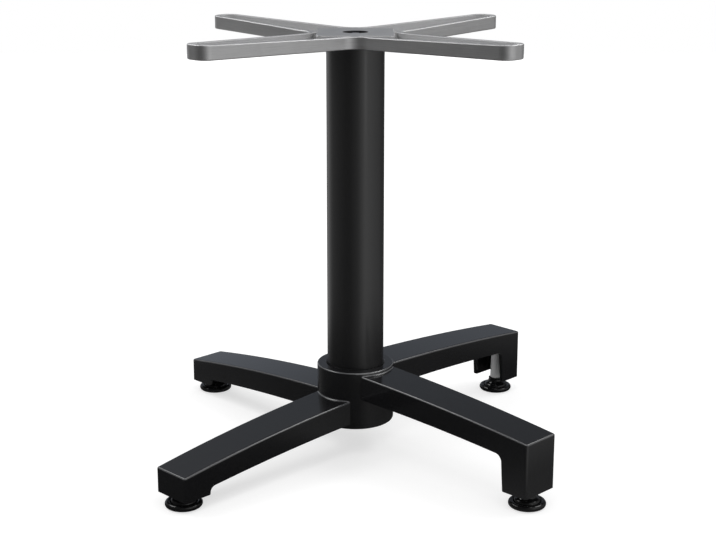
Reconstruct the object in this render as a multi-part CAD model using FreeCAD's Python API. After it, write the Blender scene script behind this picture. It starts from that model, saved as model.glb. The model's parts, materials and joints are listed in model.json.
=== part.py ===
import FreeCAD, Part
import math
import os

Vector = FreeCAD.Vector
up = Vector(0, 0, 1)
axis_origin = Vector(0, 0, 0)

# Column: a round tube that stands on the hub's inner floor and carries the spider
column_diameter = 76.2
column_wall = 2.0
column_length = 481.2

# Hub of the base casting; heights are above the floor
hub_diameter = 104.0
hub_bottom = 36.0
hub_height = 80.3
hub_rim_round = 2.0
hub_foot_round = 4.0
socket_depth = 50.0
socket_clearance = 0.3
socket_chamfer = 2.0
hub_floor_thickness = 10.0
hub_skirt_wall = 9.0
hub_rib_thickness = 6.0
hub_rib_height = 9.0
rod_boss_diameter = 46.0
rod_boss_height = 3.0

# Legs: the low pair points to -X, the high pair to +X
leg_reach = 321.5
leg_root_width = 62.2
leg_tip_width = 55.4
leg_root_depth = 32.5
leg_tip_depth = 28.5
leg_under_crown = 2.0
low_leg_root_top = 75.8
low_leg_tip_top = 49.0
low_leg_crown = 3.6
low_block_bottom = 16.5
high_leg_root_top = 111.4
high_leg_tip_top = 93.0
high_leg_crown = 2.6
high_block_bottom = 21.5
block_length = 40.5
block_draft_degrees = 4.0
arch_radius = 10.0
block_corner_round = 1.5
leg_wall = 5.0
leg_top_wall = 5.0
leg_end_round = 3.0
leg_edge_round = 2.4
leg_root_round = 2.0
leg_core_round = 3.0
leg_rib_thickness = 5.0
leg_rib_depth = 14.0
web_thickness = 4.0
web_count = 2

# Levelling feet: pad, stud and the threaded bush in each leg's end block
foot_inset = 19.7
pad_diameter = 47.4
pad_bead_height = 7.6
pad_bead_width = 7.0
pad_valley_height = 5.2
pad_dome_height = 11.0
pad_neck_diameter = 20.0
pad_height = 18.4
pad_floor_thickness = 3.0
stud_diameter = 10.0
stud_reach = 24.0
stud_head_diameter = 18.0
stud_head_height = 5.0
stud_clearance = 0.05
stud_head_clearance = 0.1
foot_seat_gap = 0.3
bush_top_diameter = 13.2
bush_bottom_diameter = 15.6
bush_press_length = 10.0
bush_edge_round = 1.2
bush_boss_wall = 5.0
bush_clearance = 0.05

# Spider: four tapered arms with a rim round a recess, and a square centre pad
spider_reach = 269.0
spider_tip_width = 37.0
spider_axis_width = 82.0
spider_tip_round = 15.5
spider_crotch_round = 22.0
spider_height = 16.2
spider_tip_height = 18.4
spider_tip_lift = 3.0
spider_blend_radius = 1500.0
spider_rim = 6.5
spider_floor = 4.5
spider_edge_round = 1.6
spider_recess_round = 1.0
centre_pad_width = 100.0
centre_pad_round = 6.0
crotch_rib_width = 8.0
spigot_height = 12.0
spigot_wall = 6.0
spigot_clearance = 0.2
outer_screw_inset = 24.341
inner_screw_spacing = 230.0
screw_hole_diameter = 6.5
screw_boss_diameter = 15.0
screw_boss_height = 4.0

# Tie rod with its nuts and washers
rod_diameter = 12.0
rod_hole_clearance = 0.5
rod_thread_clearance = 0.05
rod_end_reach = 2.0
rod_end_chamfer = 1.0
nut_width = 19.0
nut_height = 10.0
nut_chamfer_degrees = 30.0
top_washer_diameter = 28.0
top_washer_thickness = 2.5
clamp_washer_diameter = 44.0
clamp_washer_thickness = 4.0
counterbore_diameter = 32.0
counterbore_cover = 1.5

# Places that follow from the sizes above
hub_radius = hub_diameter / 2
hub_top = hub_bottom + hub_height
socket_floor = hub_top - socket_depth
hub_floor_under = socket_floor - hub_floor_thickness
clamp_seat = hub_floor_under - rod_boss_height
column_top = socket_floor + column_length
spider_top = column_top + spider_height
outer_screw_spacing = (spider_reach - outer_screw_inset) * math.sqrt(2)
counterbore_floor = spider_top - counterbore_cover - rod_end_reach - nut_height - top_washer_thickness
rod_top = spider_top - counterbore_cover
clamp_bottom = clamp_seat - clamp_washer_thickness
rod_bottom = clamp_bottom - nut_height - rod_end_reach
rod_hole_radius = rod_diameter / 2 + rod_hole_clearance
bush_bottom = pad_height + foot_seat_gap
leg_start = hub_radius / 2
foot_circle_radius = leg_reach - foot_inset
clear_of_all = 2 * (leg_reach + column_length)

# How near counts as the same place, and how far a cutter runs past a face
touch = 0.01
margin = 1.0

# A wall counts as upright while its normal's rise is below the first, an edge as sharp while its faces' normals
# have a dot product below the second
upright_lean = math.sin(math.radians(6.0))
sharp_turn = math.cos(math.radians(60.0))


def leg_kind(root_top, tip_top, crown, block_bottom):
    return dict(root=root_top, tip=tip_top, crown=crown, block=block_bottom)


low_leg = leg_kind(low_leg_root_top, low_leg_tip_top, low_leg_crown, low_block_bottom)
high_leg = leg_kind(high_leg_root_top, high_leg_tip_top, high_leg_crown, high_block_bottom)
legs = {
    "front_left": (225.0, low_leg),
    "rear_left": (135.0, low_leg),
    "front_right": (315.0, high_leg),
    "rear_right": (45.0, high_leg),
}


def polygon(points):
    corners = [Vector(*point) for point in points]
    return Part.Face(Part.makePolygon(corners + corners[:1]))


def revolved(edges):
    return Part.Face(Part.Wire(edges)).revolve(axis_origin, up, 360)


def line(start, end):
    return Part.LineSegment(Vector(start[0], 0, start[1]), Vector(end[0], 0, end[1])).toShape()


def arc(start, through, end):
    points = [Vector(radius, 0, height) for radius, height in (start, through, end)]
    return Part.Arc(*points).toShape()


def quarter(start, end, corner):
    """Arc from start to end that rounds off the given corner."""
    share = math.sqrt(2) - 1
    through = [share * c + (1 - share) * (s + e) / 2 for s, e, c in zip(start, end, corner)]
    return arc(start, through, end)


def cylinder(radius, bottom, top, centre=(0, 0)):
    return Part.makeCylinder(radius, top - bottom, Vector(centre[0], centre[1], bottom), up)


def block(width_x, width_y, bottom, top, centre=(0, 0)):
    corner = Vector(centre[0] - width_x / 2, centre[1] - width_y / 2, bottom)
    return Part.makeBox(width_x, width_y, top - bottom, corner)


def turned(shape, degrees):
    copy = shape.copy()
    copy.rotate(axis_origin, up, degrees)
    return copy


def edges_where(shape, test):
    return [edge for edge in shape.Edges if all(test(vertex.Point) for vertex in edge.Vertexes)]


def crowned_line(start, end, crown):
    """Height along a circular arc from start to end that rises by crown over the middle of its chord."""
    span = end[0] - start[0]
    drop = start[1] - end[1]
    chord = math.hypot(span, drop)
    radius = (chord * chord / 4 + crown * crown) / (2 * crown)
    lean = drop / chord
    middle = ((start[0] + end[0]) / 2, (start[1] + end[1]) / 2)
    centre_x = middle[0] - lean * (radius - crown)
    centre_z = middle[1] - span / chord * (radius - crown)
    return lambda x: centre_z + math.sqrt(radius * radius - (x - centre_x) ** 2)


def crowned_edge(height, start, end, drop=0.0):
    middle = (start + end) / 2
    points = [(x, height(x) - drop) for x in (start, middle, end)]
    return arc(*points)


def leg_top(leg):
    return crowned_line((hub_radius, leg["root"]), (leg_reach, leg["tip"]), leg["crown"])


def leg_underside(leg):
    top = leg_top(leg)
    block_start = leg_reach - block_length
    root = (hub_radius, leg["root"] - leg_root_depth)
    tip = (block_start, top(block_start) - leg_tip_depth)
    return crowned_line(root, tip, leg_under_crown)


def leg_half_width(x):
    share = (x - hub_radius) / (leg_reach - hub_radius)
    return (leg_root_width + (leg_tip_width - leg_root_width) * share) / 2


def leg_plan(start, end, inset):
    corners = [(start, -1), (end, -1), (end, 1), (start, 1)]
    plan = polygon([(x, side * (leg_half_width(x) - inset), -clear_of_all) for x, side in corners])
    return plan.extrude(Vector(0, 0, 2 * clear_of_all))


def across(face, width):
    solid = face.extrude(Vector(0, width, 0))
    solid.translate(Vector(0, -width / 2, 0))
    return solid


def leg_outside(leg):
    """Crowned leg with its end block, rounded along the top and at the end."""
    top = leg_top(leg)
    under = leg_underside(leg)
    block_start = leg_reach - block_length
    block_top = under(block_start)
    draft = (block_top - leg["block"]) * math.tan(math.radians(block_draft_degrees))
    inner_foot = (block_start + draft, leg["block"])
    side = [
        crowned_edge(top, leg_start, leg_reach),
        line((leg_reach, top(leg_reach)), (leg_reach, leg["block"])),
        line((leg_reach, leg["block"]), inner_foot),
        line(inner_foot, (block_start, block_top)),
        crowned_edge(under, block_start, leg_start),
        line((leg_start, under(leg_start)), (leg_start, top(leg_start))),
    ]
    solid = across(Part.Face(Part.Wire(side)), 2 * leg_root_width)
    solid = solid.common(leg_plan(leg_start, leg_reach, 0))

    def at(point, x, z):
        return abs(point.x - x) < touch and abs(point.z - z) < touch

    arch_room = min(arch_radius, block_top - leg["block"] - block_corner_round)
    arch_edges = edges_where(solid, lambda point: at(point, block_start, block_top))
    solid = solid.makeFillet(arch_room, arch_edges)
    foot_edges = edges_where(solid, lambda point: at(point, *inner_foot))
    solid = solid.makeFillet(block_corner_round, foot_edges)
    ends = edges_where(solid, lambda point: abs(point.x - leg_reach) < touch)
    upright = [edge for edge in ends if edge.BoundBox.YLength < touch]
    solid = solid.makeFillet(leg_end_round, upright)
    rims = edges_where(solid, lambda point: abs(point.z - top(point.x)) < touch)
    rims = [edge for edge in rims if edge.CenterOfMass.x > leg_start + touch]
    return solid.makeFillet(leg_edge_round, rims)


def leg_core(leg):
    """The hollow under the leg, open below and towards the hub."""
    top = leg_top(leg)
    end = leg_reach - leg_wall
    below = -margin
    side = [
        crowned_edge(top, leg_start, end, leg_top_wall),
        line((end, top(end) - leg_top_wall), (end, below)),
        line((end, below), (leg_start, below)),
        line((leg_start, below), (leg_start, top(leg_start) - leg_top_wall)),
    ]
    core = across(Part.Face(Part.Wire(side)), 2 * leg_root_width)
    core = core.common(leg_plan(leg_start, end, leg_wall))
    roof = edges_where(core, lambda point: abs(point.z - top(point.x) + leg_top_wall) < touch)
    roof = [edge for edge in roof if edge.CenterOfMass.x > leg_start + touch]
    return core.makeFillet(leg_core_round, roof)


def roof_band(leg, start, end, width):
    """A rib of the given width that hangs from the leg's roof between two radii."""
    top = leg_top(leg)
    upper = leg_top_wall / 2
    lower = leg_top_wall + leg_rib_depth
    side = [
        crowned_edge(top, start, end, upper),
        line((end, top(end) - upper), (end, top(end) - lower)),
        crowned_edge(top, end, start, lower),
        line((start, top(start) - lower), (start, top(start) - upper)),
    ]
    return across(Part.Face(Part.Wire(side)), width)


def bush_top(leg):
    return leg_top(leg)(foot_circle_radius) - leg_top_wall


def make_leg(leg):
    boss_radius = bush_top_diameter / 2 + bush_boss_wall
    foot = (foot_circle_radius, 0)
    roof = bush_top(leg)
    solid = leg_outside(leg).cut(leg_core(leg))
    spine = roof_band(leg, leg_start, foot_circle_radius, leg_rib_thickness)
    ribs = [spine]
    run = foot_circle_radius - boss_radius - hub_radius
    for number in range(1, web_count + 1):
        middle = hub_radius + run * number / (web_count + 1)
        width = 2 * leg_half_width(middle) - leg_wall
        ribs.append(roof_band(leg, middle - web_thickness / 2, middle + web_thickness / 2, width))
    boss = cylinder(boss_radius, roof - bush_press_length, roof + leg_top_wall / 2, foot)
    solid = solid.fuse(ribs + [boss])
    seat = cylinder(bush_top_diameter / 2 + bush_clearance, 0, roof, foot)
    room = cylinder(bush_bottom_diameter / 2 + bush_clearance, 0, roof - bush_press_length, foot)
    return solid.cut([seat, room])


def root_edges(base, angle, leg):
    """The line on the hub's wall along which a leg's outer sides and top run into it."""
    top = leg_top(leg)
    back = FreeCAD.Rotation(up, -angle)
    chosen = []
    for edge in base.Edges:
        points = [back.multVec(point) for point in edge.discretize(5)]
        on_hub = all(abs(math.hypot(point.x, point.y) - hub_radius) < touch for point in points)
        in_leg = all(point.x > 0 and abs(point.y) < leg_half_width(hub_radius) + margin for point in points)
        middle = points[2]
        on_side = abs(middle.y) > leg_half_width(middle.x) - leg_edge_round
        on_top = middle.z > top(middle.x) - leg_edge_round
        if on_hub and in_leg and (on_side or on_top):
            chosen.append(edge)
    return chosen


def make_star_base():
    hub = cylinder(hub_radius, hub_bottom, hub_top)
    rim = edges_where(hub, lambda point: abs(point.z - hub_top) < touch)
    hub = hub.makeFillet(hub_rim_round, rim)
    foot = edges_where(hub, lambda point: abs(point.z - hub_bottom) < touch)
    hub = hub.makeFillet(hub_foot_round, foot)
    base = hub.fuse([turned(make_leg(leg), angle) for angle, leg in legs.values()])
    for angle, leg in legs.values():
        base = base.makeFillet(leg_root_round, root_edges(base, angle, leg))
    socket_radius = column_diameter / 2 + socket_clearance
    mouth_radius = socket_radius + socket_chamfer
    mouth_place = Vector(0, 0, hub_top - socket_chamfer)
    mouth = Part.makeCone(socket_radius, mouth_radius, socket_chamfer, mouth_place, up)
    base = base.cut([cylinder(socket_radius, socket_floor, hub_top + margin), mouth])
    skirt_radius = hub_radius - hub_skirt_wall
    hollow = cylinder(skirt_radius, hub_bottom - margin, hub_floor_under)
    keep = [cylinder(rod_boss_diameter / 2, clamp_seat, hub_floor_under)]
    rib = block(skirt_radius, hub_rib_thickness, hub_floor_under - hub_rib_height, hub_floor_under,
                ((rod_boss_diameter + skirt_radius) / 2, 0))
    keep += [turned(rib, angle) for angle, _ in legs.values()]
    base = base.cut(hollow.cut(keep))
    return base.cut(cylinder(rod_hole_radius, hub_bottom, hub_top)).removeSplitter()


def make_column_tube():
    outer = cylinder(column_diameter / 2, socket_floor, column_top)
    return outer.cut(cylinder(column_diameter / 2 - column_wall, socket_floor, column_top))


def spider_plan(bottom, top):
    """Upright prism of the four tapered arms with round crotches and round tips."""
    taper = (spider_axis_width - spider_tip_width) / 2 / spider_reach
    crotch = spider_axis_width / 2 / (1 + taper)
    points = []
    for quarter in range(4):
        for along, aside in ((crotch, -crotch), (spider_reach, -spider_tip_width / 2),
                             (spider_reach, spider_tip_width / 2)):
            corner = Vector(along, aside, bottom)
            turn = FreeCAD.Rotation(up, 45 + 90 * quarter)
            points.append(turn.multVec(corner))
    prism = Part.Face(Part.makePolygon(points + points[:1])).extrude(Vector(0, 0, top - bottom))

    def upright_edges(nearest, farthest):
        upright = [edge for edge in prism.Edges if edge.BoundBox.ZLength > (top - bottom) / 2]
        places = [(edge, edge.CenterOfMass) for edge in upright]
        return [edge for edge, place in places if nearest < math.hypot(place.x, place.y) < farthest]

    prism = prism.makeFillet(spider_crotch_round, upright_edges(0, spider_reach / 2))
    return prism.makeFillet(spider_tip_round, upright_edges(spider_reach, clear_of_all))


def rising_line(height, tip_height, rim):
    """Flat out to the pad's corners, then a gentle bend and an even rise to the arms' tips."""
    flat = centre_pad_width / math.sqrt(2)
    slope = math.atan2(tip_height - height, spider_reach - flat)
    tangent = spider_blend_radius * math.tan(slope / 2)
    sag = spider_blend_radius * (1 - math.cos(slope / 2))
    bend_start = (flat - tangent, height)
    bend_middle = (bend_start[0] + spider_blend_radius * math.sin(slope / 2), height + sag)
    bend_end = (flat + tangent * math.cos(slope), height + tangent * math.sin(slope))
    end = (rim, height + (rim - flat) * math.tan(slope))
    return [line((0, height), bend_start), arc(bend_start, bend_middle, bend_end), line(bend_end, end)], end


def spider_dish(lower, lower_tip, upper, upper_tip):
    """Solid of revolution between two surfaces that rise from the flat middle to the arms' tips."""
    rim = spider_reach + spider_tip_width
    floor_edges, floor_end = rising_line(lower, lower_tip, rim)
    top_edges, top_end = rising_line(upper, upper_tip, rim)
    edges = floor_edges + [line(floor_end, top_end)] + top_edges[::-1] + [line((0, upper), (0, lower))]
    return revolved(Part.__sortEdges__(edges))


def is_upright(face):
    u_start, u_end, v_start, v_end = face.ParameterRange
    return abs(face.normalAt((u_start + u_end) / 2, (v_start + v_end) / 2).z) < upright_lean


def normal_near(face, point):
    return face.normalAt(*face.Surface.parameter(point))


def rim_edges(body):
    """Sharp edges where an upright wall meets the top, a floor or the underside."""
    chosen = []
    for edge in body.Edges:
        faces = body.ancestorsOfType(edge, Part.Face)
        if sorted(is_upright(face) for face in faces) != [False, True]:
            continue
        middle = edge.discretize(3)[1]
        first, second = (normal_near(face, middle) for face in faces)
        if abs(first.dot(second)) < sharp_turn:
            chosen.append(edge)
    return chosen


def screw_places():
    places = []
    for spacing in (outer_screw_spacing, inner_screw_spacing):
        for side_x in (-1, 1):
            for side_y in (-1, 1):
                places.append((side_x * spacing / 2, side_y * spacing / 2))
    return places


def make_top_spider():
    low = column_top
    tip_low = low + spider_tip_lift
    tip_top = tip_low + spider_tip_height
    reach_up = 4 * spider_height
    plan = spider_plan(low - reach_up, low + reach_up)
    body = plan.common(spider_dish(low, tip_low, spider_top, tip_top))
    body = body.makeFillet(spider_edge_round, rim_edges(body))
    outline = [face for face in plan.Faces if abs(face.CenterOfMass.z - low + reach_up) < touch][0]
    inner = Part.Face(outline.OuterWire.makeOffset2D(-spider_rim))
    recess = inner.extrude(Vector(0, 0, 2 * reach_up))
    recess_top = low + reach_up / 2
    recess = recess.common(spider_dish(
        low + spider_floor, tip_low + spider_floor, recess_top, recess_top + spider_tip_lift))
    pad = block(centre_pad_width, centre_pad_width, low - reach_up, low + reach_up)
    corners = [edge for edge in pad.Edges if edge.BoundBox.ZLength > reach_up]
    keep = [pad.makeFillet(centre_pad_round, corners)]
    rib_length = 2 * spider_axis_width
    keep.append(block(rib_length, crotch_rib_width, low - reach_up, low + reach_up))
    keep.append(block(crotch_rib_width, rib_length, low - reach_up, low + reach_up))
    for place in screw_places():
        lift = spider_floor + spider_tip_lift + screw_boss_height
        keep.append(cylinder(screw_boss_diameter / 2, low, low + lift, place))
    body = body.cut(recess.cut(keep))
    body = body.makeFillet(spider_recess_round, rim_edges(body))
    spigot_radius = column_diameter / 2 - column_wall - spigot_clearance
    spigot = cylinder(spigot_radius, low - spigot_height, low)
    spigot = spigot.cut(cylinder(spigot_radius - spigot_wall, low - spigot_height, low))
    boss = cylinder(counterbore_diameter / 2 + spigot_wall, low - spigot_height, low)
    body = body.fuse([spigot, boss])
    holes = [cylinder(counterbore_diameter / 2, counterbore_floor, spider_top + margin)]
    holes.append(cylinder(rod_hole_radius, low - spigot_height, spider_top))
    for place in screw_places():
        holes.append(cylinder(screw_hole_diameter / 2, low - margin, low + reach_up, place))
    return body.cut(holes)


def make_rod():
    rod = cylinder(rod_diameter / 2, rod_bottom, rod_top)
    ends = [edge for edge in rod.Edges if len(edge.Vertexes) == 1]
    return rod.makeChamfer(rod_end_chamfer, ends)


def make_nut(bottom):
    """Hexagon nut whose corners are turned off on both faces."""
    corner = nut_width / math.sqrt(3)
    points = [(corner * math.cos(math.radians(60 * side)), corner * math.sin(math.radians(60 * side)), bottom)
              for side in range(6)]
    prism = polygon(points).extrude(Vector(0, 0, nut_height))
    drop = (corner - nut_width / 2) * math.tan(math.radians(nut_chamfer_degrees))
    top = bottom + nut_height
    barrel = revolved([
        line((0, bottom), (nut_width / 2, bottom)),
        line((nut_width / 2, bottom), (corner, bottom + drop)),
        line((corner, bottom + drop), (corner, top - drop)),
        line((corner, top - drop), (nut_width / 2, top)),
        line((nut_width / 2, top), (0, top)),
        line((0, top), (0, bottom)),
    ])
    return prism.common(barrel).cut(cylinder(rod_diameter / 2 + rod_thread_clearance, bottom, top))


def make_washer(diameter, bottom, thickness):
    return cylinder(diameter / 2, bottom, bottom + thickness).cut(
        cylinder(rod_hole_radius, bottom, bottom + thickness))


def foot_place(angle):
    turn = math.radians(angle)
    return Vector(foot_circle_radius * math.cos(turn), foot_circle_radius * math.sin(turn), 0)


def make_stud():
    """Stud with a flat head that the pad is moulded round."""
    head = cylinder(stud_head_diameter / 2, pad_floor_thickness, pad_floor_thickness + stud_head_height)
    shank = cylinder(stud_diameter / 2 - stud_clearance, pad_floor_thickness, pad_height + stud_reach)
    return head.fuse(shank).removeSplitter()


def make_pad():
    """Pad with a round bead at its edge, a valley, and a dome that runs up into the neck."""
    edge = pad_diameter / 2
    neck = pad_neck_diameter / 2
    bead_centre = edge - pad_bead_width / 2
    valley = edge - pad_bead_width
    shoulder = (valley + neck) / 2
    solid = revolved([
        line((0, 0), (bead_centre, 0)),
        arc((bead_centre, 0), (edge, pad_bead_height / 2), (bead_centre, pad_bead_height)),
        quarter((bead_centre, pad_bead_height), (valley, pad_valley_height), (valley, pad_bead_height)),
        quarter((valley, pad_valley_height), (shoulder, pad_dome_height), (valley, pad_dome_height)),
        quarter((shoulder, pad_dome_height), (neck, pad_height), (neck, pad_dome_height)),
        line((neck, pad_height), (0, pad_height)),
        line((0, pad_height), (0, 0)),
    ])
    head_top = pad_floor_thickness + stud_head_height + stud_head_clearance
    socket = cylinder(stud_head_diameter / 2 + stud_head_clearance, pad_floor_thickness, head_top)
    return solid.cut([socket, cylinder(stud_diameter / 2, pad_floor_thickness, pad_height)])


def make_bush(leg):
    """Threaded sleeve, widest at its lower end, pressed into the boss under the leg's roof."""
    roof = bush_top(leg)
    press = roof - bush_press_length
    bore = stud_diameter / 2
    thin = bush_top_diameter / 2
    wide = bush_bottom_diameter / 2
    round_start = wide - bush_edge_round
    round_end = bush_bottom + bush_edge_round
    return revolved([
        line((bore, bush_bottom), (round_start, bush_bottom)),
        quarter((round_start, bush_bottom), (wide, round_end), (wide, bush_bottom)),
        line((wide, round_end), (thin, press)),
        line((thin, press), (thin, roof)),
        line((thin, roof), (bore, roof)),
        line((bore, roof), (bore, bush_bottom)),
    ])


def save(name, shape):
    shape.exportStep(f"parts/{name}.step")


os.makedirs("parts", exist_ok=True)
save("star_base", make_star_base())
save("column_tube", make_column_tube())
save("top_spider", make_top_spider())
save("tie_rod", make_rod())
save("top_washer", make_washer(top_washer_diameter, counterbore_floor, top_washer_thickness))
save("top_nut", make_nut(counterbore_floor + top_washer_thickness))
save("clamp_washer", make_washer(clamp_washer_diameter, clamp_bottom, clamp_washer_thickness))
save("bottom_nut", make_nut(clamp_bottom - nut_height))
for corner_name, (leg_angle, leg_kind) in legs.items():
    for piece_name, piece in (("pad", make_pad()), ("stud", make_stud()), ("bush", make_bush(leg_kind))):
        piece.translate(foot_place(leg_angle))
        save(f"foot_{piece_name}_{corner_name}", piece)
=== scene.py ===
import json
import math

import bpy
import numpy as np
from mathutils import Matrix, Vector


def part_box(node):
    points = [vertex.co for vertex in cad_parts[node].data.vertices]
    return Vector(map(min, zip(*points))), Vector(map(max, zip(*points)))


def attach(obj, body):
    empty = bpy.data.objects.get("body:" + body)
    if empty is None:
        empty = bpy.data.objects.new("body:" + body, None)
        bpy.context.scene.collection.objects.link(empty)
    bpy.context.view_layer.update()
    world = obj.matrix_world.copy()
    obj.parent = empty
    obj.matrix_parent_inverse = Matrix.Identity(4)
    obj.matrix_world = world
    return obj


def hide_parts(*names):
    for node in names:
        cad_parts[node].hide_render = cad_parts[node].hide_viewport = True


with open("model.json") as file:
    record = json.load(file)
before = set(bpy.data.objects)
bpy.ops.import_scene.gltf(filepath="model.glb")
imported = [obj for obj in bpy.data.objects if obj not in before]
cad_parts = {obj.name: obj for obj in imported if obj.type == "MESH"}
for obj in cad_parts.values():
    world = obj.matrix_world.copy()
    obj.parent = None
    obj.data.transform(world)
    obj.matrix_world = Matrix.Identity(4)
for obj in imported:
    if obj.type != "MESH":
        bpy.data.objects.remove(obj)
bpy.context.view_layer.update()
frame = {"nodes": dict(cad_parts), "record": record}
nodes = frame["nodes"]
corners = ["front_left", "rear_left", "front_right", "rear_right"]
print("frame loaded with", len(nodes), "nodes")

scene = bpy.context.scene
scene.view_settings.view_transform = "Standard"


# Small helpers for node trees

def addNode(tree, kind, **values):
    # inputs are given by name, properties by their own name
    node = tree.nodes.new(kind)
    for key, value in values.items():
        if hasattr(node, key):
            setattr(node, key, value)
        else:
            node.inputs[key.replace("_", " ")].default_value = value
    return node


def joinNodes(tree, *pairs):
    for source, target in pairs:
        tree.links.new(source, target)


def setOrJoin(tree, socket, value):
    # a number is set on the socket, anything else is joined to it
    if isinstance(value, (int, float)):
        socket.default_value = value
    else:
        tree.links.new(value, socket)


def mathNode(tree, operation, first, second=None, clamp=False):
    # one sum, whose terms are numbers or sockets
    node = tree.nodes.new("ShaderNodeMath")
    node.operation = operation
    node.use_clamp = clamp
    setOrJoin(tree, node.inputs[0], first)
    if second is not None:
        setOrJoin(tree, node.inputs[1], second)
    return node.outputs[0]


def weighted(tree, first, firstShare, second, secondShare, clamp=False):
    # two values added, each times its share
    return mathNode(tree, "ADD", mathNode(tree, "MULTIPLY", first, firstShare),
                    mathNode(tree, "MULTIPLY", second, secondShare), clamp)


def spread(tree, value, low, high, newLow, newHigh):
    # maps the range low..high to newLow..newHigh and holds it there
    node = tree.nodes.new("ShaderNodeMapRange")
    tree.links.new(value, node.inputs["Value"])
    for key, number in (("From Min", low), ("From Max", high), ("To Min", newLow), ("To Max", newHigh)):
        setOrJoin(tree, node.inputs[key], number)
    return node.outputs["Result"]


def blendColors(tree, mask, first, second):
    node = tree.nodes.new("ShaderNodeMix")
    node.data_type = "RGBA"
    tree.links.new(mask, node.inputs["Factor"])
    for place, color in ((6, first), (7, second)):  # 6 and 7 are the colour sockets A and B
        if isinstance(color, tuple):
            node.inputs[place].default_value = (*color, 1)
        else:
            tree.links.new(color, node.inputs[place])
    return node.outputs[2]


def axes(tree, vector):
    split = tree.nodes.new("ShaderNodeSeparateXYZ")
    tree.links.new(vector, split.inputs[0])
    return split.outputs


def faceRise(tree):
    # how far the surface faces up: 1 on a level top, 0 on an upright wall
    return axes(tree, tree.nodes.new("ShaderNodeNewGeometry").outputs["Normal"])["Z"]


def lengthOf(tree, vector):
    node = addNode(tree, "ShaderNodeVectorMath", operation="LENGTH")
    tree.links.new(vector, node.inputs[0])
    return node.outputs["Value"]


def scaled(tree, vector, shares):
    # the vector with each axis times its own share
    node = addNode(tree, "ShaderNodeVectorMath", operation="MULTIPLY")
    node.inputs[1].default_value = shares
    tree.links.new(vector, node.inputs[0])
    return node.outputs["Vector"]


number, vectorKind = "NodeSocketFloat", "NodeSocketVector"


def newGroup(name, inputs, outputs):
    # a shader group with named sockets: a Vector, then numbers with their usual values, and numbers out
    tree = bpy.data.node_groups.new(name, "ShaderNodeTree")
    tree.interface.new_socket(name="Vector", in_out="INPUT", socket_type=vectorKind)
    for label, kind, usual in inputs:
        tree.interface.new_socket(name=label, in_out="INPUT", socket_type=kind).default_value = usual
    for label in outputs:
        tree.interface.new_socket(name=label, in_out="OUTPUT", socket_type=number)
    return tree, tree.nodes.new("NodeGroupInput").outputs, tree.nodes.new("NodeGroupOutput").inputs


def useGroup(tree, group, vector, **values):
    node = tree.nodes.new("ShaderNodeGroup")
    node.node_tree = group
    for key, value in values.items():
        node.inputs[key].default_value = value
    tree.links.new(vector, node.inputs["Vector"])
    return node.outputs


def newMaterial(name):
    material = bpy.data.materials.new(name)
    material.use_nodes = True
    tree = material.node_tree
    place = tree.nodes.new("ShaderNodeTexCoord").outputs["Object"]
    return material, tree, tree.nodes["Principled BSDF"], place


def addBump(tree, shader, height, strength, depth):
    bump = addNode(tree, "ShaderNodeBump", Strength=strength, Distance=depth)
    joinNodes(tree, (height, bump.inputs["Height"]), (bump.outputs["Normal"], shader.inputs["Normal"]))


# Effects that several finishes share

grainLook = dict(peel=dict(Detail=3.0, Roughness=0.55), speck=dict(Detail=2.0, Roughness=0.6),
                 speckRange=(0.32, 0.68))


def makeGrainGroup(look):
    # two sizes of soft noise: Peel is the rolling skin of a coat or casting, Speck its fine grit
    tree, take, give = newGroup("skinGrain", [("PeelScale", number, 700.0), ("SpeckScale", number, 2600.0)],
                                ["Peel", "Speck"])
    peel = addNode(tree, "ShaderNodeTexNoise", **look["peel"])
    speck = addNode(tree, "ShaderNodeTexNoise", **look["speck"])
    joinNodes(tree, (take["Vector"], peel.inputs["Vector"]), (take["Vector"], speck.inputs["Vector"]),
              (take["PeelScale"], peel.inputs["Scale"]), (take["SpeckScale"], speck.inputs["Scale"]),
              (peel.outputs["Fac"], give["Peel"]))
    tree.links.new(spread(tree, speck.outputs["Fac"], *look["speckRange"], 0.0, 1.0), give["Speck"])
    return tree


edgeTurnLook = dict(samples=6, turnRange=(0.995, 0.86), patchDetail=4.0, patchRange=(0.35, 0.62), patchLevel=(0.25, 1.0))


def makeEdgeGroup(look):
    # Mask is high where the surface turns within Width, along an edge, and a noise breaks it up; the casting dulls
    # its edges with it, the steel paints a highlight there
    tree, take, give = newGroup("edgeRub", [("Width", number, 0.0015), ("Breakup", number, 90.0)], ["Mask"])
    bevel = addNode(tree, "ShaderNodeBevel", samples=look["samples"])
    facing = addNode(tree, "ShaderNodeVectorMath", operation="DOT_PRODUCT")
    flat = tree.nodes.new("ShaderNodeNewGeometry")
    patch = addNode(tree, "ShaderNodeTexNoise", Detail=look["patchDetail"])
    joinNodes(tree, (take["Width"], bevel.inputs["Radius"]), (bevel.outputs["Normal"], facing.inputs[0]),
              (flat.outputs["Normal"], facing.inputs[1]), (take["Vector"], patch.inputs["Vector"]),
              (take["Breakup"], patch.inputs["Scale"]))
    turn = spread(tree, facing.outputs["Value"], *look["turnRange"], 0.0, 1.0)
    worn = spread(tree, patch.outputs["Fac"], *look["patchRange"], *look["patchLevel"])
    tree.links.new(mathNode(tree, "MULTIPLY", turn, worn), give["Mask"])
    return tree


handLook = dict(cloud=dict(Detail=5.0, Roughness=0.6, Distortion=0.6), cloudRange=(0.3, 0.7), upRange=(0.75, 0.99),
                grit=dict(Scale=900.0, Detail=2.0), gritRange=(0.4, 0.7), gritLevel=(0.2, 1.0))


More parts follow.
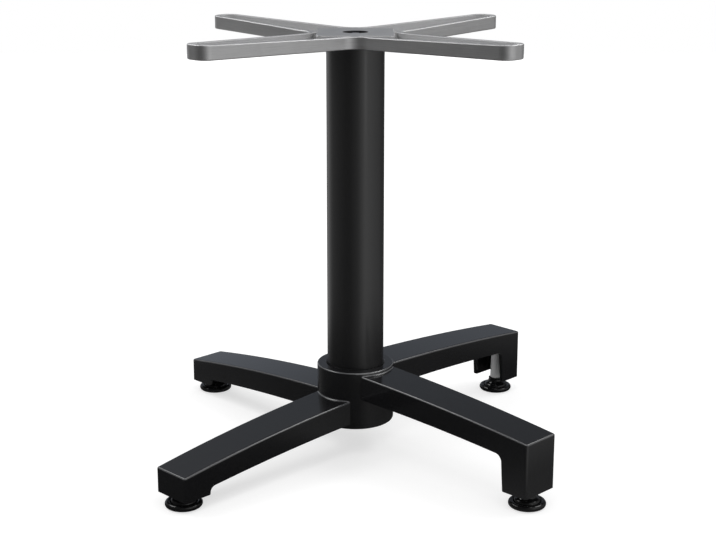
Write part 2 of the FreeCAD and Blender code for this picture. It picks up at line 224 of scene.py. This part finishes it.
def makeHandlingGroup(look):
    # Cloud is slow, uneven shading from handling and wiping; Dust is the same on faces that look up
    tree, take, give = newGroup("handling", [("Scale", number, 14.0)], ["Cloud", "Dust"])
    cloud = addNode(tree, "ShaderNodeTexNoise", **look["cloud"])
    grit = addNode(tree, "ShaderNodeTexNoise", **look["grit"])
    joinNodes(tree, (take["Vector"], cloud.inputs["Vector"]), (take["Scale"], cloud.inputs["Scale"]),
              (take["Vector"], grit.inputs["Vector"]))
    soft = spread(tree, cloud.outputs["Fac"], *look["cloudRange"], 0.0, 1.0)
    upward = spread(tree, faceRise(tree), *look["upRange"], 0.0, 1.0)
    gritty = spread(tree, grit.outputs["Fac"], *look["gritRange"], *look["gritLevel"])
    dust = mathNode(tree, "MULTIPLY", upward, mathNode(tree, "MULTIPLY", soft, gritty))
    joinNodes(tree, (soft, give["Cloud"]), (dust, give["Dust"]))
    return tree


streakLook = dict(fine=dict(Scale=1.0, Detail=3.0, Roughness=0.65), fineRange=(0.3, 0.7),
                  wide=dict(Scale=0.22, Detail=2.0), wideRange=(0.35, 0.65))


def makeStreakGroup(look):
    # Streak is noise drawn out by Stretch, as grinding, drawing or turning leaves it, and Band its wide swells
    tree, take, give = newGroup("toolStreak", [("Stretch", vectorKind, (30.0, 30.0, 1400.0))], ["Streak", "Band"])
    drawn = addNode(tree, "ShaderNodeVectorMath", operation="MULTIPLY")
    fine = addNode(tree, "ShaderNodeTexNoise", **look["fine"])
    wide = addNode(tree, "ShaderNodeTexNoise", **look["wide"])
    joinNodes(tree, (take["Vector"], drawn.inputs[0]), (take["Stretch"], drawn.inputs[1]),
              (drawn.outputs["Vector"], fine.inputs["Vector"]), (drawn.outputs["Vector"], wide.inputs["Vector"]))
    joinNodes(tree, (spread(tree, fine.outputs["Fac"], *look["fineRange"], 0.0, 1.0), give["Streak"]),
              (spread(tree, wide.outputs["Fac"], *look["wideRange"], 0.0, 1.0), give["Band"]))
    return tree


skinGrain = makeGrainGroup(grainLook)
edgeRub = makeEdgeGroup(edgeTurnLook)
handling = makeHandlingGroup(handLook)
toolStreak = makeStreakGroup(streakLook)
print("shared effects made")


# Finishes

coat = dict(specular=1.0, handScale=16.0, speckTone=0.35, roughShares=(0.6, 0.4), speckHeight=0.25,
            roundFrom=(0.25, 0.45), roundTo=(0.86, 0.96))  # how far a rounded upper edge faces up
castCoat = dict(coat, color=(0.0058, 0.0058, 0.0064), lit=(0.020, 0.0205, 0.022), edge=(0.10, 0.101, 0.105),
                rough=(0.11, 0.18), peelScale=520.0, speckScale=2300.0, bump=0.03, bumpDepth=0.0002, dust=0.12)
tubeCoat = dict(coat, color=(0.0058, 0.0058, 0.0062), lit=(0.014, 0.014, 0.015), edge=(0.03, 0.03, 0.031),
                rough=(0.19, 0.26), peelScale=420.0, speckScale=2600.0, bump=0.06, bumpDepth=0.00016, dust=0.0)


def makeCoat(name, look):
    # satin powder coat: rolling skin with fine grit, paler where dust lies, and a painted highlight, a paler
    # colour, along the rounded upper edges
    material, tree, shader, place = newMaterial(name)
    grain = useGroup(tree, skinGrain, place, PeelScale=look["peelScale"], SpeckScale=look["speckScale"])
    hands = useGroup(tree, handling, place, Scale=look["handScale"])
    pale = weighted(tree, grain["Speck"], look["speckTone"], hands["Dust"], look["dust"], clamp=True)
    rise = faceRise(tree)
    edgeHighlightMask = mathNode(tree, "MULTIPLY", spread(tree, rise, *look["roundFrom"], 0.0, 1.0),
                       spread(tree, rise, *look["roundTo"], 1.0, 0.0))
    # the rounded upper edges take a painted highlight: a paler colour where the lamps would glint
    color = blendColors(tree, edgeHighlightMask, blendColors(tree, pale, look["color"], look["lit"]), look["edge"])
    cloudShare, speckShare = look["roughShares"]
    uneven = weighted(tree, hands["Cloud"], cloudShare, grain["Speck"], speckShare)
    joinNodes(tree, (color, shader.inputs["Base Color"]),
              (spread(tree, uneven, 0.0, 1.0, *look["rough"]), shader.inputs["Roughness"]))
    shader.inputs["Specular IOR Level"].default_value = look["specular"]
    height = weighted(tree, grain["Peel"], 1.0, grain["Speck"], look["speckHeight"])
    addBump(tree, shader, height, look["bump"], look["bumpDepth"])
    return material


bareCast = dict(color=(0.62, 0.62, 0.625), bright=(0.80, 0.80, 0.80), rough=(0.42, 0.56), edgeRough=0.8,
                stretch=(26.0, 26.0, 900.0), peelScale=340.0, speckScale=1500.0, edgeWidth=0.0018, handScale=22.0,
                toneShares=(0.45, 0.35), roughShares=(0.5, 0.5), heightShares=(0.5, 0.8), bump=0.25,
                bumpDepth=0.00016, skin=(0.52, 0.52, 0.525), skinTo=(0.62, 0.62, 0.625), skinMetal=0.5,
                skinRough=0.6, reach=0.269, innerHalf=(0.0351, 0.0126), innerReach=0.2632, padHalf=0.0502,
                fade=0.0006, padShadeFade=0.016, bore=0.0164, boreShade=(0.10, 0.10, 0.102))


def insideArms(tree, place, look):
    # 1 inside the recess of the four arms: along is the distance out along the nearer diagonal, across the distance
    #                                       from it, and the recess narrows evenly along the arm. Next to the centre
    #                                       pad the value fades to 0, a painted shade at the recess's deep ends
    spot = axes(tree, place)
    east, north = spot["X"], spot["Y"]
    diagonals = [mathNode(tree, "ABSOLUTE", mathNode(tree, "MULTIPLY", mathNode(tree, way, east, north),
                                                     math.sqrt(0.5))) for way in ("ADD", "SUBTRACT")]
    along = mathNode(tree, "MAXIMUM", *diagonals)
    across = mathNode(tree, "MINIMUM", *diagonals)
    half = spread(tree, along, 0.0, look["reach"], *look["innerHalf"])
    within = spread(tree, mathNode(tree, "SUBTRACT", across, half), 0.0, look["fade"], 1.0, 0.0)
    short = spread(tree, along, look["innerReach"], look["innerReach"] + look["fade"], 1.0, 0.0)
    square = mathNode(tree, "MAXIMUM", mathNode(tree, "ABSOLUTE", east), mathNode(tree, "ABSOLUTE", north))
    # near the centre pad the recess falls back to the darker ground metal: painted shade
    clearOfPadShade = spread(tree, square, look["padHalf"], look["padHalf"] + look["padShadeFade"], 0.0, 1.0)
    return mathNode(tree, "MULTIPLY", mathNode(tree, "MULTIPLY", within, short), clearOfPadShade)


def insideBore(tree, place, look):
    # 1 within the counterbore's radius of the column's axis, whatever the height
    fromAxis = lengthOf(tree, scaled(tree, place, (1.0, 1.0, 0.0)))
    return spread(tree, fromAxis, look["bore"], look["bore"] + look["fade"], 1.0, 0.0)


def makeBareCasting(look):
    # bare aluminium casting: walls ground along the arms, edges tumbled dull, a sandy skin in the recess with
    # painted shade at its ends beside the centre pad, and painted shade in the counterbore
    material, tree, shader, place = newMaterial("bareCasting")
    streak = useGroup(tree, toolStreak, place, Stretch=look["stretch"])
    grain = useGroup(tree, skinGrain, place, PeelScale=look["peelScale"], SpeckScale=look["speckScale"])
    edgeTurnMask = useGroup(tree, edgeRub, place, Width=look["edgeWidth"])
    hands = useGroup(tree, handling, place, Scale=look["handScale"])
    streakTone, cloudTone = look["toneShares"]
    bandRough, speckRough = look["roughShares"]
    streakHeight, peelHeight = look["heightShares"]
    tone = weighted(tree, streak["Streak"], streakTone, hands["Cloud"], cloudTone)
    ground = blendColors(tree, tone, look["color"], look["bright"])
    # the counterbore is painted dark: painted shade for the deep hole
    ground = blendColors(tree, insideBore(tree, place, look), ground, look["boreShade"])
    sand = blendColors(tree, grain["Speck"], look["skin"], look["skinTo"])
    # the sandy skin, with painted shade where it fades out beside the centre pad
    skinAndPadShade = insideArms(tree, place, look)
    uneven = weighted(tree, streak["Band"], bandRough, grain["Speck"], speckRough)
    rough = spread(tree, uneven, 0.0, 1.0, *look["rough"])
    blunt = spread(tree, edgeTurnMask["Mask"], 0.0, 1.0, rough, look["edgeRough"])
    joinNodes(tree, (blendColors(tree, skinAndPadShade, ground, sand), shader.inputs["Base Color"]),
              (spread(tree, skinAndPadShade, 0.0, 1.0, blunt, look["skinRough"]), shader.inputs["Roughness"]),
              (spread(tree, skinAndPadShade, 0.0, 1.0, 1.0, look["skinMetal"]), shader.inputs["Metallic"]))
    height = weighted(tree, streak["Streak"], streakHeight, grain["Peel"], peelHeight)
    addBump(tree, shader, height, look["bump"], look["bumpDepth"])
    return material


steel = dict(edgeWidth=0.0006, edgeBreakup=400.0, edgeHighlightShare=0.5, handScale=120.0, toneShares=(0.5, 0.3), toneTop=0.8,
             bumpDepth=0.00006)
zincSteel = dict(steel, name="zincSteel", color=(0.62, 0.63, 0.65), bright=(0.84, 0.86, 0.90), rough=(0.24, 0.40),
                 metal=0.9, stretch=(160.0, 160.0, 160.0), bump=0.12)
turnedSteel = dict(steel, name="turnedSteel", color=(0.74, 0.74, 0.75), bright=(0.92, 0.92, 0.92),
                   rough=(0.30, 0.46), metal=0.2, stretch=(4.0, 4.0, 2600.0), bump=0.3)


def makeSteel(look):
    # plated or turned steel: streaks along the tool's path, clouded plating, and a painted highlight along the
    # edges
    material, tree, shader, place = newMaterial(look["name"])
    streak = useGroup(tree, toolStreak, place, Stretch=look["stretch"])
    edgeTurnMask = useGroup(tree, edgeRub, place, Width=look["edgeWidth"], Breakup=look["edgeBreakup"])
    hands = useGroup(tree, handling, place, Scale=look["handScale"])
    streakTone, cloudTone = look["toneShares"]
    tone = weighted(tree, streak["Streak"], streakTone, hands["Cloud"], cloudTone)
    # the edges are lightened towards the bright colour: a painted highlight
    toneAndEdgeHighlight = weighted(tree, tone, 1.0, edgeTurnMask["Mask"], look["edgeHighlightShare"], clamp=True)
    joinNodes(tree, (blendColors(tree, toneAndEdgeHighlight, look["color"], look["bright"]), shader.inputs["Base Color"]),
              (spread(tree, tone, 0.0, look["toneTop"], *look["rough"]), shader.inputs["Roughness"]))
    shader.inputs["Metallic"].default_value = look["metal"]
    addBump(tree, shader, streak["Streak"], look["bump"], look["bumpDepth"])
    return material


padPlastic = dict(color=(0.0075, 0.0075, 0.008), scuffed=(0.03, 0.03, 0.031), scuffHeight=0.0022,
                  rough=(0.05, 0.13), peelScale=260.0, speckScale=3200.0, handScale=70.0, cloudRough=0.5,
                  bump=0.06, bumpDepth=0.00018)


def makePadPlastic(look):
    # glossy moulded nylon: faint flow marks, scuffed where the edge meets the floor
    material, tree, shader, place = newMaterial("padPlastic")
    grain = useGroup(tree, skinGrain, place, PeelScale=look["peelScale"], SpeckScale=look["speckScale"])
    hands = useGroup(tree, handling, place, Scale=look["handScale"])
    low = spread(tree, axes(tree, place)["Z"], 0.0, look["scuffHeight"], 1.0, 0.0)
    scuff = mathNode(tree, "MULTIPLY", low, grain["Speck"])
    uneven = weighted(tree, hands["Cloud"], look["cloudRough"], scuff, 1.0, clamp=True)
    joinNodes(tree, (blendColors(tree, scuff, look["color"], look["scuffed"]), shader.inputs["Base Color"]),
              (spread(tree, uneven, 0.0, 1.0, *look["rough"]), shader.inputs["Roughness"]))
    addBump(tree, shader, grain["Peel"], look["bump"], look["bumpDepth"])
    return material


finishes = {
    "black_casting": makeCoat("castCoat", castCoat),
    "black_tube": makeCoat("tubeCoat", tubeCoat),
    "bare_casting": makeBareCasting(bareCast),
    "zinc_steel": makeSteel(zincSteel),
    "bush_steel": makeSteel(turnedSteel),
    "foot_plastic": makePadPlastic(padPlastic),
}
for subpart in frame["record"]["subparts"]:
    mesh = nodes[subpart["node"]].data
    mesh.materials.clear()
    mesh.materials.append(finishes[subpart["material_slot"]])


# Turned and threaded pieces

threadForm = dict(flankSlope=2.4, crestFlat=0.1, depthShare=0.61, sharpAngle=38.0)


def turnedPiece(name, radius, height, centre, material):
    # each row of the grid is one turn about an upright axis at its own height, with a radius for each angle;
    # a point on the axis closes each end
    rows, columns = radius.shape
    angle = np.linspace(0.0, 2.0 * np.pi, columns, endpoint=False)
    levels = np.repeat(height[:, None], columns, axis=1)
    rings = np.stack([radius * np.cos(angle), radius * np.sin(angle), levels], axis=-1).reshape(-1, 3)
    ends = np.array([[0.0, 0.0, height[0]], [0.0, 0.0, height[-1]]])
    points = np.concatenate([rings, ends]) + np.array([centre[0], centre[1], 0.0])
    here = np.arange(rows * columns).reshape(rows, columns)
    beside = np.roll(here, -1, axis=1)
    walls = np.stack([here[:-1], beside[:-1], beside[1:], here[1:]], axis=-1).reshape(-1, 4)
    bottom = np.stack([beside[0], here[0], np.full(columns, rows * columns)], axis=-1)
    top = np.stack([here[-1], beside[-1], np.full(columns, rows * columns + 1)], axis=-1)
    mesh = bpy.data.meshes.new(name)
    mesh.from_pydata(points.tolist(), [], walls.tolist() + bottom.tolist() + top.tolist())
    mesh.polygons.foreach_set("use_smooth", np.ones(len(mesh.polygons), dtype=bool))
    mesh.set_sharp_from_angle(angle=math.radians(threadForm["sharpAngle"]))
    mesh.materials.append(material)
    piece = bpy.data.objects.new(name, mesh)
    scene.collection.objects.link(piece)
    return piece


def threadRadius(height, crest, pitch, columns, threaded):
    # the radius falls and rises once each pitch along the axis, and the wave climbs one pitch a turn,
    # so it is a helix; threaded is 0 on plain stretches and 1 where the thread is at full depth
    turn = np.linspace(0.0, 1.0, columns, endpoint=False)
    phase = np.mod(height[:, None] / pitch - turn[None, :], 1.0)
    flank = np.clip(threadForm["flankSlope"] * np.abs(phase - 0.5) - threadForm["crestFlat"], 0.0, 1.0)
    depth = threadForm["depthShare"] * pitch
    return crest[:, None] - depth * threaded[:, None] * (1.0 - flank)


def steps(start, end, step):
    return np.linspace(start, end, max(2, int(round(abs(end - start) / step)) + 1))


def dressNode(piece, body, node):
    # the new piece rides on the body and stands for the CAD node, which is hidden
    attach(piece, body)
    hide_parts(node)


studLook = dict(crest=0.00495, head=0.0090, headLow=0.0030, headHigh=0.0080, top=0.0424, pitch=0.0015,
                runOut=0.0030, point=0.0012, pointDepth=0.75, hub=0.0005, columns=48, rowsPerTurn=12)


def makeStud(corner, look):
    # levelling stud: flat head inside the pad, then a thread that runs out at the head and ends in a bevel
    step = look["pitch"] / look["rowsPerTurn"]
    shank = steps(look["headHigh"], look["top"], step)
    height = np.concatenate([[look["headLow"], look["headLow"], look["headHigh"]], shank])
    tip = np.clip((look["top"] - shank) / look["point"], 0.0, 1.0)
    runOut = np.clip((shank - look["headHigh"]) / look["runOut"], 0.0, 1.0)
    shankCrest = look["crest"] - look["point"] * look["pointDepth"] * (1.0 - tip)
    crest = np.concatenate([[look["hub"], look["head"], look["head"]], shankCrest])
    threaded = np.concatenate([[0.0, 0.0, 0.0], runOut * tip])
    radius = threadRadius(height, crest, look["pitch"], look["columns"], threaded)
    low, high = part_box("foot_pad_" + corner)
    centre = (low + high) / 2
    stud = turnedPiece("studThread_" + corner, radius, height, centre, finishes["zinc_steel"])
    dressNode(stud, "foot_" + corner, "foot_stud_" + corner)


rodLook = dict(crest=0.0060, pitch=0.00175, threadLength=0.030, runOut=0.004, point=0.0010, columns=56,
               rowsPerTurn=12)


def makeRod(look):
    # tie rod: a plain shank with a thread cut on each end and a bevel at both tips
    low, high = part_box("tie_rod")
    step = look["pitch"] / look["rowsPerTurn"]
    lowThread = steps(low.z, low.z + look["threadLength"], step)
    highThread = steps(high.z - look["threadLength"], high.z, step)
    height = np.concatenate([lowThread, highThread])
    fromEnd = np.minimum(height - low.z, high.z - height)
    tip = np.clip(fromEnd / look["point"], 0.0, 1.0)
    threaded = tip * np.clip((look["threadLength"] - fromEnd) / look["runOut"], 0.0, 1.0)
    crest = look["crest"] - look["point"] * (1.0 - tip)
    radius = threadRadius(height, crest, look["pitch"], look["columns"], threaded)
    rod = turnedPiece("rodThread", radius, height, (0.0, 0.0), finishes["zinc_steel"])
    dressNode(rod, "base", "tie_rod")


for corner in corners:
    makeStud(corner, studLook)
makeRod(rodLook)
print("threads cut")


# Floor, light and camera

# how bright the room looks in gloss, by direction in degrees: 0 is the near side, 90 the right
roomRing = [(-180, 0.25), (-135, 0.75), (-105, 0.32), (-40, 0.13), (-20, 0.13), (10, 0.30), (38, 0.84), (60, 0.73),
            (105, 0.38), (135, 0.10), (180, 0.25)]


def makeRoomGroup(ring):
    # Level is the ring's brightness in the direction of Vector, whatever its height
    tree, take, give = newGroup("roomLight", [], ["Level"])
    way = axes(tree, take["Vector"])
    bearing = mathNode(tree, "ARCTAN2", way["X"], mathNode(tree, "MULTIPLY", way["Y"], -1.0))
    ramp = tree.nodes.new("ShaderNodeValToRGB")
    joinNodes(tree, (spread(tree, bearing, -math.pi, math.pi, 0.0, 1.0), ramp.inputs["Fac"]),
              (ramp.outputs["Color"], give["Level"]))
    places = [(degrees + 180) / 360 for degrees, level in ring]
    stops = ramp.color_ramp.elements
    for place in places[1:-1]:
        stops.new(place)
    for stop, place, (degrees, level) in zip(stops, places, ring):
        stop.position = place
        stop.color = (level, level, level, 1)
    return tree


roomLight = makeRoomGroup(roomRing)

floorLook = dict(size=9.0, color=(0.55, 0.55, 0.55), glow=(0.61, 0.97), glowReach=(0.7, 2.6), gloss=(0.21, 0.95),
                 glossReach=(0.34, 0.56), glossOval=(0.75, 1.0, 1.0), glossLevel=0.72)


def makeFloor(look):
    # pale and shadowed to the eye; in gloss it carries the room's light, weaker in an oval round the object
    half = look["size"] / 2
    mesh = bpy.data.meshes.new("floor")
    mesh.from_pydata([(-half, -half, 0), (half, -half, 0), (half, half, 0), (-half, half, 0)], [], [(0, 1, 2, 3)])
    material = bpy.data.materials.new("paleFloor")
    material.use_nodes = True
    tree = material.node_tree
    tree.nodes.clear()
    matte = addNode(tree, "ShaderNodeBsdfDiffuse", Color=(*look["color"], 1))
    glow = tree.nodes.new("ShaderNodeEmission")
    room = tree.nodes.new("ShaderNodeEmission")
    clear = tree.nodes.new("ShaderNodeBsdfTransparent")
    lit = tree.nodes.new("ShaderNodeAddShader")
    kind = tree.nodes.new("ShaderNodeMixShader")
    side = tree.nodes.new("ShaderNodeMixShader")
    out = tree.nodes.new("ShaderNodeOutputMaterial")
    path = tree.nodes.new("ShaderNodeLightPath")
    face = tree.nodes.new("ShaderNodeNewGeometry")
    reach = lengthOf(tree, face.outputs["Position"])
    seen = mathNode(tree, "MAXIMUM", path.outputs["Is Camera Ray"], path.outputs["Is Transmission Ray"])
    pale = spread(tree, reach, *look["glowReach"], *look["glow"])
    oval = lengthOf(tree, scaled(tree, face.outputs["Position"], look["glossOval"]))
    near = spread(tree, oval, *look["glossReach"], *look["gloss"])
    ring = useGroup(tree, roomLight, face.outputs["Position"])["Level"]
    level = mathNode(tree, "MULTIPLY", ring, look["glossLevel"])
    joinNodes(tree, (mathNode(tree, "MULTIPLY", seen, pale), glow.inputs["Strength"]),
              (mathNode(tree, "MULTIPLY", near, level), room.inputs["Strength"]),
              (matte.outputs[0], lit.inputs[0]), (glow.outputs[0], lit.inputs[1]),
              (path.outputs["Is Glossy Ray"], kind.inputs["Fac"]), (lit.outputs[0], kind.inputs[1]),
              (room.outputs[0], kind.inputs[2]),
              (face.outputs["Backfacing"], side.inputs["Fac"]), (kind.outputs[0], side.inputs[1]),
              (clear.outputs[0], side.inputs[2]), (side.outputs[0], out.inputs["Surface"]))
    mesh.materials.append(material)
    floor = bpy.data.objects.new("floor", mesh)
    scene.collection.objects.link(floor)


# each range is from low, from high, to low, to high
worldLook = dict(ambient=0.58, glossLevel=0.56, farRange=(0.5, 0.95, 0.0, 1.0), farTint=(0.90, 0.98, 1.12),
                 lowLift=(0.24, 0.40, 0.45, 0.0), sideLevel=(-0.9, 0.9, 0.62, 1.38))


def makeWorld(look):
    # white to the eye; in gloss the room is bright at the near right, dim at the near left and cool behind
    world = bpy.data.worlds.new("studio")
    scene.world = world
    world.use_nodes = True
    tree = world.node_tree
    tree.nodes.clear()
    path = tree.nodes.new("ShaderNodeLightPath")
    ray = tree.nodes.new("ShaderNodeTexCoord").outputs["Generated"]
    way = axes(tree, ray)
    far = spread(tree, way["Y"], *look["farRange"])
    low = mathNode(tree, "MULTIPLY", far, spread(tree, way["Z"], *look["lowLift"]))
    side = mathNode(tree, "MULTIPLY", spread(tree, way["X"], *look["sideLevel"]), look["glossLevel"])
    lift = mathNode(tree, "MULTIPLY", mathNode(tree, "ADD", low, 1.0), side)
    room = mathNode(tree, "MULTIPLY", useGroup(tree, roomLight, ray)["Level"], lift)
    isGloss = path.outputs["Is Glossy Ray"]
    seen = mathNode(tree, "MAXIMUM", path.outputs["Is Camera Ray"], path.outputs["Is Transmission Ray"])
    gloss = mathNode(tree, "MULTIPLY", isGloss, room)
    other = mathNode(tree, "MULTIPLY", mathNode(tree, "SUBTRACT", 1.0, isGloss), look["ambient"])
    strength = mathNode(tree, "MAXIMUM", seen, mathNode(tree, "ADD", gloss, other))
    tint = blendColors(tree, mathNode(tree, "MULTIPLY", far, isGloss), (1, 1, 1), look["farTint"])
    back = tree.nodes.new("ShaderNodeBackground")
    out = tree.nodes.new("ShaderNodeOutputWorld")
    joinNodes(tree, (tint, back.inputs["Color"]), (strength, back.inputs["Strength"]),
              (back.outputs[0], out.inputs["Surface"]))


softboxes = [
    dict(name="overhead", place=(0.1, -0.35, 2.2), target=(0.0, 0.0, 0.3), width=1.4, height=0.9, power=7.0),
    dict(name="topRight", place=(1.25, 0.4, 1.65), target=(0.0, 0.0, 0.1), width=1.5, height=0.7, power=9.0),
    dict(name="topLeft", place=(-1.25, 0.4, 1.65), target=(0.0, 0.0, 0.1), width=1.5, height=0.7, power=9.0),
    dict(name="rightBox", place=(1.6, -1.9, 0.5), target=(0.0, 0.0, 0.35), width=0.35, height=1.5, power=0.5),
]


def addSoftbox(name, place, target, width, height, power):
    light = bpy.data.lights.new(name, "AREA")
    light.shape = "RECTANGLE"
    light.size = width
    light.size_y = height
    light.energy = power
    lamp = bpy.data.objects.new(name, light)
    scene.collection.objects.link(lamp)
    lamp.location = place
    aim = np.array(target) - np.array(place)
    flat = math.hypot(aim[0], aim[1])
    lamp.rotation_euler = (math.atan2(flat, -aim[2]), 0.0, math.atan2(-aim[0], aim[1]))
    lamp.visible_camera = False


shot = dict(distance=1.890, height=0.760, pitch=14.39, focalPixels=1456.6, frameWidth=716.0, sensor=36.0,
            shiftX=0.0036, shiftY=-0.03)


def makeCamera(look):
    data = bpy.data.cameras.new("shot")
    data.sensor_width = look["sensor"]
    data.lens = look["focalPixels"] * look["sensor"] / look["frameWidth"]
    data.shift_x = look["shiftX"]
    data.shift_y = look["shiftY"]
    camera = bpy.data.objects.new("shot", data)
    scene.collection.objects.link(camera)
    camera.location = (0.0, -look["distance"], look["height"])
    camera.rotation_euler = (math.radians(90.0 - look["pitch"]), 0.0, 0.0)
    scene.camera = camera


makeFloor(floorLook)
makeWorld(worldLook)
for box in softboxes:
    addSoftbox(**box)
makeCamera(shot)
print("studio set")
